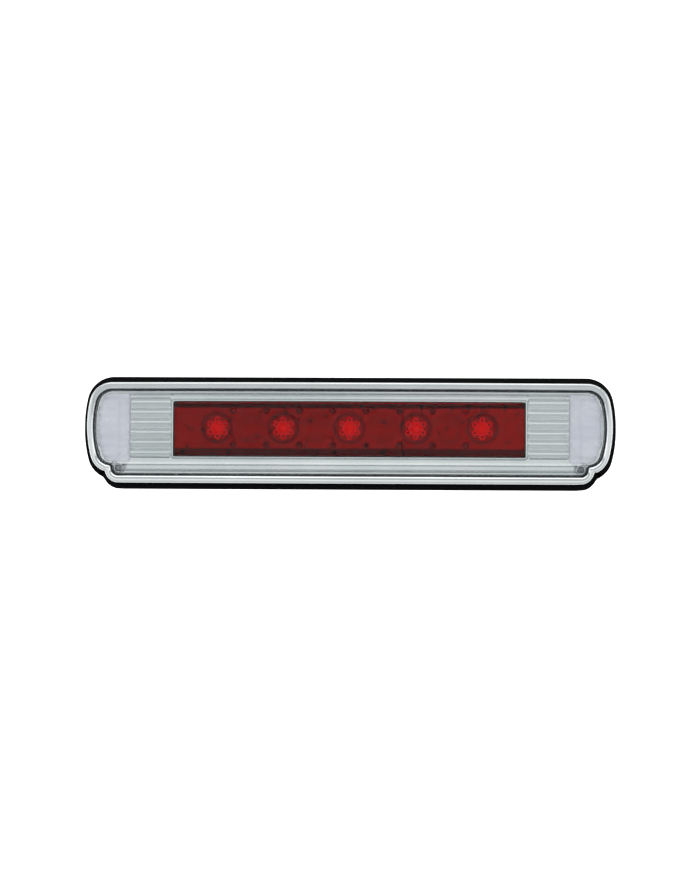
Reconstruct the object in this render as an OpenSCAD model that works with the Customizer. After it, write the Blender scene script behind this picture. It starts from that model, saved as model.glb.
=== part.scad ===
// Third brake light for the rear of a pickup's cab, with a cargo lamp at each end.
// X runs across the vehicle, Z is up and Y points into the cab, so the lens faces -Y.
// The plane y = 0 is the gasket's rear face, which lies on the cab's panel.
// The front pieces follow a gentle bow about a vertical axis. Their depth is measured
// backwards from the rim's crest, square to that bow.

/* [Cover outline] */
// Width of the clear cover at its widest point
cover_w = 373; // [360:1:450]
// Height of the clear cover, lower edge to upper edge
cover_h = 61.8; // [61:0.2:76]
// Height of the cover's centre above the gasket's centre
cover_rise = 0.2; // [0:0.1:1]
// How far the lower lobe is set in at each end
lobe_inset = 13.4; // [12:0.1:15]
// Height of the lower lobe's free side
lobe_h = 7.3; // [6.8:0.1:8.5]
// Radius of the bulged ends
side_r = 78; // [65:1:110]
// Height of the ends' widest point above the cover's centre
side_rise = 4.2; // [2:0.1:6]
// Radius of the two upper corners
top_corner_r = 11.7; // [8:0.1:14]
// Radius of the lower corners of the bulged ends
low_corner_r = 10.2; // [8:0.1:12]
// Radius of the lower lobe's corners
lobe_corner_r = 4.7; // [4:0.1:5.5]
// Radius of the inner corner between lobe and end
lobe_fillet_r = 2.2; // [1.5:0.1:3]
// Thickness of the clear cover
cover_t = 2; // [1.6:0.1:2.6]
// Depth of the cover's face behind the rim's crest
cover_depth = 1.5; // [1:0.1:2]

/* [Rim and gasket] */
// Distance from the cab's panel to the rim's crest at the middle
lamp_front = 24; // [22:0.5:30]
// Radius of the front's bow about the vertical axis
bow_r = 2300; // [1800:50:4000]
// Width of the chrome rim outside the cover
rim_band = 5.5; // [5:0.1:7]
// How much the rim sits above the cover's outline
rim_rise = 0.5; // [0:0.1:1]
// Width of the dark joint between rim and cover
joint_w = 0.8; // [0.6:0.1:1.4]
// Wall of the chromed bezel
bezel_t = 1.6; // [1.4:0.1:2]
// Width of the gasket outside the cover at the ends
gasket_band = 8.6; // [8:0.1:11]
// Extra width of the gasket above
gasket_more_top = 1.6; // [0.5:0.1:3]
// Extra width of the gasket below
gasket_more_low = 2; // [0.5:0.1:3]
// Thickness of the gasket
gasket_t = 3; // [2:0.1:5]

/* [Reflector field] */
// Depth of the reflector's field behind the rim's crest
field_depth = 7.5; // [7:0.1:8.5]
// Height of the lower shelf
shelf_h = 9; // [8.5:0.1:9.5]
// Step from the field down to the shelf
shelf_step = 2; // [1.8:0.1:3]
// Distance between two neighbouring reeds
reed_pitch = 7.4; // [7:0.1:7.6]
// Number of reeds between the brake lens and each cargo lens
reed_count = 6; // [5:1:6]
// Height of a reed above the field
reed_h = 1.6; // [1:0.1:2]
// Height of the middle of the reeds above the cover's centre
reed_rise = 3.5; // [3:0.1:4]

/* [Brake lens] */
// Number of lamps in the brake light's row
led_count = 5; // [3:2:5]
// Distance between two lamps
led_pitch = 48.6; // [40:0.1:50]
// Red lens beyond the last lamp's cell at each end
lens_end = 6.2; // [5:0.1:8]
// Height of the red lens
lens_h = 39; // [37:0.2:41]
// Thickness of the red lens
lens_t = 2.5; // [2:0.1:3]
// Height of the red lens's centre above the cover's centre
lens_rise = 2.6; // [2.2:0.1:3.6]
// Width of the black seal around the red lens
lens_seal_w = 1; // [0.8:0.1:1.2]
// Height of the lamps' row above the red lens's centre
led_rise = 1.1; // [0:0.1:1.3]
// Radius of the lamp's own lens
led_r = 3.2; // [2.5:0.1:3.4]
// Radius of a reflector cup at its mouth
cup_r = 11.5; // [11:0.1:12]

/* [Housing] */
// Depth of the tub behind the cab's panel
tub_depth = 24; // [22:0.5:32]
// Height of the tub
tub_h = 49.5; // [49:0.1:50]
// Height of the tub's centre above the cover's centre
tub_rise = 4.95; // [4.5:0.05:5.2]
// How far the tub's ends lie inside the cover's ends
tub_inset = 1.2; // [1:0.1:2]
// Wall of the housing
wall = 2.2; // [1.8:0.1:2.4]
// Thickness of the housing's flange
flange_t = 2.5; // [2:0.1:3.5]
// Radius of the two holes for the cab's screws
cab_hole_r = 2.75; // [2.2:0.05:2.9]
// Wall of the steel sleeve around each cab screw
sleeve_wall = 0.8; // [0.6:0.05:1]
// Height of the cab's screws above the cover's lower edge
cab_hole_rise = 4.5; // [4.2:0.1:4.8]

/* [Cargo lamps] */
// Distance from the cover's end to a cargo bulb's axis
bulb_inset = 15.1; // [14.8:0.1:16]
// Radius of a wedge bulb's glass
bulb_r = 5; // [4:0.1:5.5]
// Length of the glass in front of its holder
bulb_len = 20; // [17:0.5:21]
// Radius of the bulb holder's neck
neck_r = 9.5; // [8.2:0.1:9.8]
// Reach of the holder's two ears beyond its neck
ear_reach = 3; // [2:0.1:3.2]
// Quarter-turn angle between locked and free
twist_deg = 45; // [35:1:50]
// Space between the turning holder and the housing
turn_gap = 0.4; // [0.3:0.05:0.6]

/* [Hidden] */
$fn = 64;

cover_z = cover_rise;
cover_half = cover_w / 2;
cover_top = cover_z + cover_h / 2;
cover_low = cover_z - cover_h / 2;
end_low = cover_low + lobe_h;
lobe_half = cover_half - lobe_inset;

// Centres of the outline's arcs. An offset changes their radii and leaves the centres.
side_c = [cover_half - side_r, cover_z + side_rise];
top_c = corner_centre(top_corner_r, cover_top - top_corner_r);
low_c = corner_centre(low_corner_r, end_low + low_corner_r);
lobe_c = [lobe_half - lobe_corner_r, cover_low + lobe_corner_r];
fillet_c = [lobe_half + lobe_fillet_r, end_low - lobe_fillet_r];
top_angle = direction(side_c, top_c);
low_angle = direction(side_c, low_c);

joint_out = 0.6;
joint_in = joint_out - joint_w;
seal_depth = cover_depth + 1.5;
flange_front = gasket_t + flange_t;
shelf_z = cover_low + shelf_h;
shelf_depth = field_depth + shelf_step;
cab_x = lobe_c[0];
cab_z = cover_low + cab_hole_rise;
sleeve_r = cab_hole_r + sleeve_wall;

lens_w = led_count * led_pitch + 2 * lens_end;
lens_z = cover_z + lens_rise;
lens_corner_r = 1.5;
lens_depth = field_depth - 2.3;
lens_back = lens_depth + lens_t;
ledge = 2;
frame_w = 1.4;
frame_depth = lens_depth - 0.2;
recess_w = lens_w + 2 * lens_seal_w;
frame_half = recess_w / 2 + frame_w;

tray_seat = 8;
tray_flange = 2;
tray_t = 10;
tray_back = tray_t - tray_seat;
tray_gap = 1.5;
tray_w = lens_w - 2 * ledge - 2 * tray_gap;
tray_h = min(lens_h - 1.6, tub_h - 2 * wall - 5);
cup_depth = 7.6;
optic_t = 2;
cup_floor_r = 9;
board_t = 1.6;
board_back = tray_back + board_t;
led_z = lens_z + led_rise;
led_x = [for (i = [0 : led_count - 1]) (i - (led_count - 1) / 2) * led_pitch];
cup_x = [for (i = [0 : 2 * led_count - 2]) (i - led_count + 1) * led_pitch / 2];
gap_x = [for (i = [0 : 2 * led_count - 3]) (i - led_count + 1.5) * led_pitch / 2];

tub_z = cover_z + tub_rise;
tub_w = 2 * (cover_half - tub_inset);
tub_r = 10;
tub_back_in = tub_depth - wall;

bulb_x = cover_half - bulb_inset;
bulb_z = tub_z;
bowl_half = min(bulb_inset - tub_inset - wall, 22) - 0.6;
bowl_w = 2 * bowl_half;
bowl_h = tub_h - 2 * wall - 1.1;
bowl_back = tub_back_in - 8.8;
bowl_wall = 1.5;
cargo_in = bulb_x - bowl_half + 0.3;
cargo_inset = 2.2;
cargo_depth = field_depth - 2.9;
groove_r = 1;
reed_z = [for (i = [0 : reed_count - 1]) cover_z + reed_rise + (i - (reed_count - 1) / 2) * reed_pitch];
reed_from = frame_half + 0.5;
reed_to = cargo_in - 0.8;

post_x = (frame_half + bulb_x - bowl_half) / 2;
post_z = [tub_z - tub_h / 2 + 10, tub_z + tub_h / 2 - 10];
post_r = 3.6;
small_screw_r = 1.5;

holder_seal_t = 2;
holder_flange_t = 2;
holder_flange_r = neck_r + 4.5;
neck_front = tub_back_in - 6;
ear_t = 2.6;
ear_w = 6;
holder_back = tub_depth + holder_seal_t + holder_flange_t;

header_w = 24;
header_h = 15;
header_wall = 2;
header_reach = 12;
header_floor = tub_depth - 1;
pin_w = 0.8;
pin_x = [-6, -2, 2, 6];
vent_x = led_pitch * 1.5;
vent_r = 4;

// y of the bowed surface at this depth, at this x
function bow_y(x, depth) = bow_r - lamp_front - sqrt((bow_r - depth) ^ 2 - x ^ 2);

function direction(from, to) = atan2(to[1] - from[1], to[0] - from[0]);
function corner_centre(r, z) = [side_c[0] + sqrt((side_r - r) ^ 2 - (z - side_c[1]) ^ 2), z];

// Points of an arc in steps of about 4 degrees, its own first point only if skip is 0
function arc(c, r, from, to, skip = 0) = let (n = ceil(abs(to - from) / 4))
    [for (i = [skip : n]) c + r * [cos(from + (to - from) * i / n), sin(from + (to - from) * i / n)]];

// A right-hand side and its mirror image, in one loop
function mirrored(p) = concat(p, [for (i = [len(p) - 1 : -1 : 0]) [-p[i][0], p[i][1]]]);

// ---- shared outlines, drawn in the X-Z plane ----

module both_sides() {
    children();
    mirror([1, 0, 0]) children();
}

// The bulged ends: a side arc between two corner arcs, as one polygon
module end_shape(d) polygon(mirrored(concat(
    arc(low_c, low_corner_r + d, -90, low_angle),
    arc(side_c, side_r + d, low_angle, top_angle, 1),
    arc(top_c, top_corner_r + d, top_angle, 90, 1))));

// The lower lobe, flared by a small fillet where it meets the bulged ends
module lobe_shape(d) {
    inner = lobe_fillet_r - d;
    flare = inner > 0.1 ? arc(fillet_c, inner, 180, 90) : [[lobe_half + d, end_low]];
    polygon(mirrored(concat(arc(lobe_c, lobe_corner_r + d, -90, 0), flare,
        [[flare[len(flare) - 1][0], end_low - min(d, 0) + 2]])));
}

// The cover's outline, moved outwards by d
module outline(d) {
    end_shape(d);
    lobe_shape(d);
}

module rim_outline(d) translate([0, rim_rise]) outline(rim_band + d);

module gasket_outline() {
    translate([0, gasket_more_top]) outline(gasket_band);
    translate([0, -gasket_more_low]) outline(gasket_band);
}

module rounded(w, h, corner) {
    r = max(corner, 0.5);
    square([w - 2 * r, h], center = true);
    square([w, h - 2 * r], center = true);
    for (x = [-1, 1], z = [-1, 1]) translate([x * (w / 2 - r), z * (h / 2 - r)]) circle(r);
}

module tub_outline(d) translate([0, tub_z]) rounded(tub_w + 2 * d, tub_h + 2 * d, tub_r + d);

module lens_outline(d) translate([0, lens_z]) rounded(lens_w + 2 * d, lens_h + 2 * d, lens_corner_r + d);

module bowl_outline(d) translate([bulb_x, bulb_z]) rounded(bowl_w + 2 * d, bowl_h + 2 * d, 6 + d);

module above(z) translate([-cover_w, z]) square([2 * cover_w, 2 * cover_h]);

module below(z) translate([-cover_w, z - 2 * cover_h]) square([2 * cover_w, 2 * cover_h]);

// ---- shared solids ----

// Extrudes an X-Z outline from one y to another
module slab(from, to) translate([0, to, 0]) rotate([90, 0, 0]) linear_extrude(to - from) children();

// Everything behind the bowed surface at this depth
module behind(depth) translate([0, bow_r - lamp_front, 0])
    cylinder(r = bow_r - depth, h = 4 * cover_h, center = true, $fn = 256);

// An X-Z outline, from a bowed front face back to a flat plane
module front_block(depth, to) intersection() {
    slab(-2 * lamp_front, to) children();
    behind(depth);
}

// An X-Z outline between two bowed faces
module bowed(from, to) difference() {
    front_block(from, 0) children();
    behind(to);
}

// A round bar along Y
module bar(r, from, to) translate([0, to, 0]) rotate([90, 0, 0]) cylinder(r = r, h = to - from);

module at(x, z) translate([x, 0, z]) children();

// Round bars along X with their crests at this depth, laid along the bow around this x
module bars_along_bow(x, length, r, crest, zs) {
    turn = asin(x / bow_r);
    for (z = zs) translate([x, bow_r - lamp_front - (bow_r - crest) * cos(turn), z])
        rotate([0, 0, turn]) translate([0, r, 0]) rotate([0, 90, 0])
            cylinder(r = r, h = length, center = true);
}

// ---- seals and shells ----

module gasket() color("#1b1b1c") slab(-gasket_t, 0) difference() {
    gasket_outline();
    tub_outline(0.3);
    both_sides() translate([cab_x, cab_z]) circle(cab_hole_r);
}

module housing() color("#26272a") difference() {
    union() {
        slab(-flange_front, -gasket_t) difference() {
            rim_outline(-0.4);
            tub_outline(-wall);
        }
        slab(-gasket_t, tub_depth) difference() {
            tub_outline(0);
            tub_outline(-wall);
        }
        slab(tub_back_in, tub_depth) tub_outline(0);
        housing_ribs();
        for (s = [-1, 1]) at(s * bulb_x, bulb_z) twist_stops();
    }
    both_sides() at(cab_x, cab_z) bar(cab_hole_r, -2 * flange_front, tub_depth);
    both_sides() for (z = post_z) at(post_x, z) bar(small_screw_r + 0.3, 0, 2 * tub_depth);
    for (s = [-1, 1]) at(s * bulb_x, bulb_z) holder_opening();
    slab(0, 2 * tub_depth) translate([0, tub_z]) square([header_w, header_h], center = true);
    at(vent_x, tub_z) bar(vent_r, 0, 2 * tub_depth);
}

// Low stiffening ribs on the tub's rear wall
module housing_ribs() {
    rib_h = 1.2;
    rib_t = 1.6;
    rib_end = post_x - 6;
    for (z = [-1, 1] * (tub_h / 2 - 8)) translate([-rib_end, tub_depth, tub_z + z - rib_t / 2])
        cube([2 * rib_end, rib_h, rib_t]);
    both_sides() for (x = [30 : 24 : rib_end - 4])
        translate([x, tub_depth, tub_z - tub_h / 2 + 8]) cube([rib_t, rib_h, tub_h / 2 - 8 - vent_r - 4]);
}

// The round hole and two notches that a holder goes in by
module holder_opening() {
    bar(neck_r + turn_gap, 0, 2 * tub_depth);
    rotate([0, 90 + twist_deg, 0]) translate([0, tub_depth, 0])
        cube([2 * (neck_r + ear_reach + turn_gap), 4 * wall, ear_w + 2 * turn_gap], center = true);
}

// Two blocks inside the rear wall that stop the ears at locked and at free
module twist_stops() {
    stop_t = 1.6;
    reach = neck_r + ear_reach;
    for (turn = [90, 270]) {
        rotate([0, turn, 0]) translate([neck_r + 1, tub_back_in - ear_t, ear_w / 2 + turn_gap])
            cube([ear_reach - 1, ear_t, stop_t]);
        rotate([0, twist_deg + turn, 0])
            translate([neck_r + 1, tub_back_in - ear_t, -ear_w / 2 - turn_gap - stop_t])
                cube([ear_reach - 1, ear_t, stop_t]);
    }
}

module bezel() color("#c5cccb") difference() {
    union() {
        difference() {
            rim_block();
            front_pocket();
            rear_hollow();
        }
        both_sides() {
            reeds();
            front_block(field_depth + 0.3, bowl_back) bowl_outline(0);
            for (z = post_z) front_block(field_depth + 0.5, tub_back_in) translate([post_x, z]) circle(post_r);
            front_block(shelf_depth + 0.3, -flange_front) translate([cab_x, cab_z]) circle(sleeve_r + 1.6);
        }
        front_block(frame_depth, -tray_seat) lens_outline(lens_seal_w + frame_w);
    }
    front_block(-1, 0) lens_outline(-ledge);
    bowed(-1, lens_back) lens_outline(lens_seal_w);
    both_sides() {
        front_block(-1, bowl_back - bowl_wall) bowl_outline(-bowl_wall);
        at(bulb_x, bulb_z) bar(neck_r - 1, 0, tub_depth);
        for (z = post_z) at(post_x, z) bar(small_screw_r, tub_back_in - 12, tub_depth);
        at(cab_x, cab_z) bar(sleeve_r + 0.1, -lamp_front, 0);
        for (z = tray_screw_z()) at(tray_screw_x(), z) bar(1.1, tray_screw_tip(), 0);
    }
}

// The rim's outer form, with a small step on its crest
module rim_block() {
    front_block(0.6, -flange_front) rim_outline(0);
    front_block(0, -flange_front - 1) rim_outline(-1.6);
}

// The pocket that holds the cover: the reflector's field, and the shelf a step deeper
module front_pocket() {
    bowed(-2, 0.6) outline(joint_out + 0.9);
    bowed(-2, field_depth) outline(joint_out);
    bowed(-2, shelf_depth) intersection() {
        outline(joint_in - cover_t);
        below(shelf_z);
    }
}

// The open back, which leaves a wall behind every front face
module rear_hollow() {
    front_block(bezel_t + 0.6, 1) difference() {
        rim_outline(-bezel_t);
        outline(joint_out + bezel_t);
    }
    front_block(field_depth + bezel_t, 1) intersection() {
        rim_outline(-bezel_t);
        above(shelf_z + bezel_t);
    }
    front_block(shelf_depth + bezel_t, 1) rim_outline(-bezel_t);
}

// Horizontal reeds between the brake lens's frame and a cargo lens
module reeds() intersection() {
    bowed(0, field_depth + bezel_t / 2)
        translate([reed_from, cover_z - cover_h]) square([reed_to - reed_from, 2 * cover_h]);
    bars_along_bow((reed_from + reed_to) / 2, cover_half, reed_pitch / 2 - 0.3, field_depth - reed_h, reed_z);
}

module cover_lens() color("#dfe6ea", 0.3) difference() {
    bowed(cover_depth, field_depth) outline(joint_in);
    bowed(cover_depth + cover_t, field_depth + 1) outline(joint_in - cover_t);
    both_sides() at(cab_x, cab_z) bar(cab_hole_r, -2 * lamp_front, 0);
    both_sides() front_block(cover_depth + cover_t, 0) translate([cab_x, cab_z]) circle(sleeve_r);
}

module cover_seal() color("#202224") bowed(seal_depth, field_depth) difference() {
    outline(joint_out);
    outline(joint_in);
}

module brake_lens() color("#8e0d12", 0.8) bowed(lens_depth, lens_back) lens_outline(0);

module brake_lens_seal() color("#141414") bowed(lens_depth + 0.2, lens_back) difference() {
    lens_outline(lens_seal_w);
    lens_outline(0);
}

// A fluted clear lens over a cargo lamp's bowl, for the +X end
module cargo_lens() color("#c8c8d0", 0.6) difference() {
    bowed(cargo_depth, field_depth) cargo_outline();
    bowed(field_depth - 1, field_depth + 1) bowl_outline(-bowl_wall);
    bars_along_bow(bulb_x, cover_half / 2, groove_r, cargo_depth + 0.5 - 2 * groove_r,
        [for (z = reed_z) z - reed_pitch / 2]);
}

module cargo_outline() intersection() {
    end_shape(joint_in - cargo_inset);
    translate([cargo_in, cover_z - cover_h]) square([cover_half, 2 * cover_h]);
}

module cargo_lens_left() mirror([1, 0, 0]) cargo_lens();

module cargo_lens_right() cargo_lens();

// ---- brake light ----

function tray_screw_x() = frame_half - 2.3;
function tray_screw_tip() = bow_y(tray_screw_x(), lens_back) + 0.6;
function tray_screw_z() = [lens_z - lens_h / 2 + 6, lens_z + lens_h / 2 - 6];
function board_screw_x() = gap_x[len(gap_x) - 1];
function board_screw_z() = [lens_z - 14.5, lens_z + 14.5];

module reflector_tray() color("#5f6064") difference() {
    union() {
        slab(-tray_seat, -tray_seat + tray_flange) lens_outline(lens_seal_w + frame_w);
        slab(-tray_seat, tray_back) translate([0, lens_z]) square([tray_w, tray_h], center = true);
    }
    for (x = cup_x) at(x, led_z) translate([0, cup_depth - tray_seat, 0]) rotate([90, 0, 0])
        cylinder(r1 = cup_floor_r, r2 = cup_r, h = cup_depth);
    for (x = led_x) at(x, led_z) bar(led_r + 0.4, -tray_seat, tray_t);
    for (x = gap_x, z = [-1, 1] * (cup_r + 1)) at(x, led_z + z) bar(1.8, -lamp_front, 3 - tray_seat);
    both_sides() for (z = tray_screw_z()) at(tray_screw_x(), z) bar(1.3, -tray_seat - 1, 0);
    both_sides() for (z = board_screw_z()) at(board_screw_x(), z) bar(1.2, tray_back - 6, tray_t);
}

module tray_screws() color("#8f9194") both_sides() for (z = tray_screw_z()) at(tray_screw_x(), z) {
    bar(1.1, tray_screw_tip(), tray_flange - tray_seat);
    pan_head(2, tray_flange - tray_seat, 1.3, 1.2);
}

// A low screw head at this y, with a cross recess
module pan_head(r, y, h, slot) difference() {
    bar(r, y, y + h);
    translate([0, y + h, 0]) {
        cube([2 * slot, h, slot / 2], center = true);
        cube([slot / 2, h, 2 * slot], center = true);
    }
}

module led_board() color("#1d5b37") slab(tray_back, board_back) difference() {
    translate([0, lens_z]) square([tray_w - 2, tray_h - 3], center = true);
    both_sides() for (z = board_screw_z()) translate([board_screw_x(), z]) circle(1.4);
}

module leds() color("#e23a34") for (x = led_x) at(x, led_z) {
    bar(led_r, -4, tray_back);
    translate([0, -4, 0]) sphere(led_r);
}

// The six-petalled optic around each lamp
module led_optics() color("#d9dadc", 0.5) for (x = led_x) at(x, led_z)
    slab(cup_depth - tray_seat - optic_t, cup_depth - tray_seat) difference() {
        union() {
            circle(led_r + 2.2);
            for (a = [30 : 60 : 330]) rotate(a) translate([led_r + 3, 0]) circle(2.2);
        }
        circle(led_r + 0.2);
        for (a = [30 : 60 : 330]) rotate(a) translate([led_r + 3, 0]) circle(1.1);
    }

module board_resistors() color("#2d2b29") for (x = led_x)
    translate([x - 3.15, board_back, lens_z - tray_h / 2 + 5]) cube([6.3, 0.8, 3.2]);

module board_diode() color("#262626")
    translate([header_w / 2 + 6, board_back, lens_z + 6]) cube([5.2, 2.2, 3.6]);

module board_screws() color("#b9bbbd") both_sides() for (z = board_screw_z()) at(board_screw_x(), z) {
    bar(1.2, tray_back - 6, board_back);
    pan_head(2.6, board_back, 1.7, 1.5);
}

// ---- connector ----

module connector_header() color("#17181a") difference() {
    slab(board_back, tub_depth + header_reach) translate([0, tub_z])
        square([header_w, header_h], center = true);
    slab(header_floor, 2 * tub_depth) translate([0, tub_z])
        square([header_w - 2 * header_wall, header_h - 2 * header_wall], center = true);
    for (x = pin_x) translate([x, 0, tub_z]) cube([pin_w, 2 * tub_depth, pin_w], center = true);
    for (x = pin_x) translate([x, tub_depth, tub_z]) cube([pin_w, 4, pin_w], center = true);
}

module connector_pins() color("#c9b068") for (x = pin_x)
    translate([x - pin_w / 2, board_back, tub_z - pin_w / 2])
        cube([pin_w, tub_depth + header_reach - 4 - board_back, pin_w]);

module connector_seal() color("#303236") slab(tub_depth, tub_depth + 2.5) translate([0, tub_z])
    difference() {
        rounded(header_w + 6, header_h + 6, 3);
        square([header_w, header_h], center = true);
    }

// ---- fasteners and vent ----

module housing_screws() color("#9a9c9f") both_sides() for (z = post_z) at(post_x, z) {
    bar(small_screw_r, tub_back_in - 12, tub_depth);
    pan_head(3.1, tub_depth, 2.1, 1.9);
}

// Steel tubes that carry the clamping force of the cab's screws
module screw_sleeves() color("#b4b6b8") both_sides() difference() {
    front_block(cover_depth + cover_t, -flange_front) translate([cab_x, cab_z]) circle(sleeve_r);
    at(cab_x, cab_z) bar(cab_hole_r, -2 * lamp_front, 0);
}

module vent_plug() color("#2a2c30") at(vent_x, tub_z) {
    bar(vent_r, tub_back_in, tub_depth);
    difference() {
        bar(vent_r + 2, tub_depth, tub_depth + 2);
        for (a = [0, 90]) rotate([0, a, 0]) translate([0, tub_depth + 2, 0])
            cube([2 * vent_r, 1.6, 1], center = true);
    }
}

// ---- cargo lamps, drawn at their own axis ----

module at_lamp(side) translate([side * bulb_x, 0, bulb_z]) children();

module wedge_outline() square([2 * bulb_r - 1, 2.8], center = true);

module bulb_holder() color("#3a3c40") difference() {
    union() {
        bar(neck_r, neck_front, tub_depth + holder_seal_t);
        translate([0, tub_back_in - ear_t / 2 - 0.2, 0]) rotate([0, 90, 0])
            intersection() {
                cube([2 * (neck_r + ear_reach), ear_t - 0.4, ear_w], center = true);
                bar(neck_r + ear_reach, -ear_t, ear_t);
            }
        bar(holder_flange_r, tub_depth + holder_seal_t, holder_back);
        bar(neck_r - 1.5, holder_back, holder_back + 6);
        slab(holder_back, holder_back + 9) square([2 * holder_flange_r - 5, 4], center = true);
    }
    slab(neck_front - 1, neck_front + 7) wedge_outline();
    for (x = [-1, 1]) slab(0, 2 * holder_back) translate([x * 3.5, 0]) square([0.8, 6.3], center = true);
}

module holder_seal() color("#26282b") difference() {
    bar(neck_r + 3.6, tub_depth, tub_depth + holder_seal_t);
    bar(neck_r, 0, 2 * tub_depth);
}

module holder_terminals() color("#c2b280") for (x = [-1, 1])
    slab(neck_front + 7, holder_back + 15) translate([x * 3.5, 0]) square([0.8, 6.3], center = true);

// A wedge bulb: hollow glass with a pinched base
module bulb() color("#e8ecef", 0.35) {
    glass = 0.8;
    tip = neck_front - bulb_len + bulb_r;
    difference() {
        union() {
            bar(bulb_r, tip, neck_front);
            translate([0, tip, 0]) sphere(bulb_r);
        }
        bar(bulb_r - glass, tip, neck_front - 2);
        translate([0, tip, 0]) sphere(bulb_r - glass);
    }
    slab(neck_front, neck_front + 7) wedge_outline();
}

// The filament between its two lead wires
module filament() color("#8c8e92") {
    top = neck_front - bulb_len + bulb_r + 2;
    lead = bulb_r / 2;
    for (x = [-1, 1]) at(x * lead, 0) bar(0.3, top, neck_front - 2);
    translate([0, top, 0]) rotate([0, 90, 0]) cylinder(r = 0.5, h = 2 * lead, center = true);
}

module bulb_holder_left() at_lamp(-1) bulb_holder();
module bulb_holder_right() at_lamp(1) bulb_holder();
module holder_seal_left() at_lamp(-1) holder_seal();
module holder_seal_right() at_lamp(1) holder_seal();
module holder_terminals_left() at_lamp(-1) holder_terminals();
module holder_terminals_right() at_lamp(1) holder_terminals();
module bulb_left() at_lamp(-1) bulb();
module bulb_right() at_lamp(1) bulb();
module filament_left() at_lamp(-1) filament();
module filament_right() at_lamp(1) filament();

gasket();
housing();
bezel();
cover_lens();
cover_seal();
brake_lens();
brake_lens_seal();
cargo_lens_left();
cargo_lens_right();
reflector_tray();
tray_screws();
led_board();
leds();
led_optics();
board_resistors();
board_diode();
board_screws();
connector_header();
connector_pins();
connector_seal();
housing_screws();
screw_sleeves();
vent_plug();
bulb_holder_left();
bulb_holder_right();
holder_seal_left();
holder_seal_right();
holder_terminals_left();
holder_terminals_right();
bulb_left();
bulb_right();
filament_left();
filament_right();
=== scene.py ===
import math
import bpy
import numpy as np
from mathutils import Matrix, Vector


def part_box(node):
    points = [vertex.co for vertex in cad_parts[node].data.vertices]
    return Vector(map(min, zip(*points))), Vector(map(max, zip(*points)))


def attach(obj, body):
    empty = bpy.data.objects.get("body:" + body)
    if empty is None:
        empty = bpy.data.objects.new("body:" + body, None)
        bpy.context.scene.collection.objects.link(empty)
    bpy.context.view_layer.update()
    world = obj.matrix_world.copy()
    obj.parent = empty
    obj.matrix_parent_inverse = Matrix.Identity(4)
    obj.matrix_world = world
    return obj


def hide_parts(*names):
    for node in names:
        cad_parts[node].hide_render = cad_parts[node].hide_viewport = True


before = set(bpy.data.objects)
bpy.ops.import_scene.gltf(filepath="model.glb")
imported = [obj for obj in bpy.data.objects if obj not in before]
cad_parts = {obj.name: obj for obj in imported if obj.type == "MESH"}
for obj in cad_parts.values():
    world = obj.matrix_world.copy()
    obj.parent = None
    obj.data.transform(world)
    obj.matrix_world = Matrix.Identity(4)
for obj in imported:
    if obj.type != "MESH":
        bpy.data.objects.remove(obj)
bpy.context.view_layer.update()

# ---- Studio -------------------------------------------------------------------------------
# A pale sweep of floor and wall under a large overhead softbox and two side boxes. The lamp hangs
# in front of the wall, as it would from the cab's panel, and the camera looks almost square on to it.


def srgb(code, alpha=1.0):
    """An sRGB hex colour as linear red, green, blue and alpha."""
    c = np.array([int(code[i:i + 2], 16) for i in (1, 3, 5)]) / 255
    linear = np.where(c <= 0.04045, c / 12.92, ((c + 0.055) / 1.055) ** 2.4)
    return (*(float(v) for v in linear), alpha)


def add(tree, kind, links=(), **settings):
    """A node with its settings; links are (input, node, output) and names in inputs are socket values."""
    node = tree.nodes.new(kind)
    for name, value in settings.pop("inputs", {}).items():
        node.inputs[name].default_value = value
    for name, value in settings.items():
        setattr(node, name, value)
    for socket, source, output in links:
        tree.links.new(source.outputs[output], node.inputs[socket])
    return node


def stops(node, *pairs):
    """Sets a colour ramp's stops from (place, hex colour) pairs."""
    ramp = node.color_ramp
    while len(ramp.elements) < len(pairs):
        ramp.elements.new(1.0)
    for element, (place, colour) in zip(ramp.elements, pairs):
        element.position, element.color = place, srgb(colour)
    return node


def material(name):
    """An empty node material: its tree, and its Principled shader."""
    m = bpy.data.materials.new(name)
    m.use_nodes = True
    return m, m.node_tree, m.node_tree.nodes["Principled BSDF"]


def mesh_piece(name, points, faces, finish, smooth=True):
    """An object from points in millimetres, with its faces and one material."""
    mesh = bpy.data.meshes.new(name)
    mesh.from_pydata((np.asarray(points) / 1000).tolist(), [], np.asarray(faces).tolist())
    mesh.polygons.foreach_set("use_smooth", np.full(len(mesh.polygons), smooth))
    mesh.materials.append(finish)
    mesh.update()
    piece = bpy.data.objects.new(name, mesh)
    bpy.context.scene.collection.objects.link(piece)
    return piece


def grid_faces(rows, cols, wrap_rows=False, wrap_cols=False):
    """Quads between neighbouring points of a rows by cols grid, closed round either way if asked."""
    r, c = np.meshgrid(np.arange(rows - (not wrap_rows)), np.arange(cols - (not wrap_cols)), indexing="ij")
    r2, c2 = (r + 1) % rows, (c + 1) % cols
    return np.stack([r * cols + c, r * cols + c2, r2 * cols + c2, r2 * cols + c], -1).reshape(-1, 4)


FLOOR_Z = -420.0
WALL_Y = 2600.0
WALL_TOP = 3500.0
SWEEP_FRONT = -4000.0
SWEEP_HALF = 4500.0
COVE_R = 500.0

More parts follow.
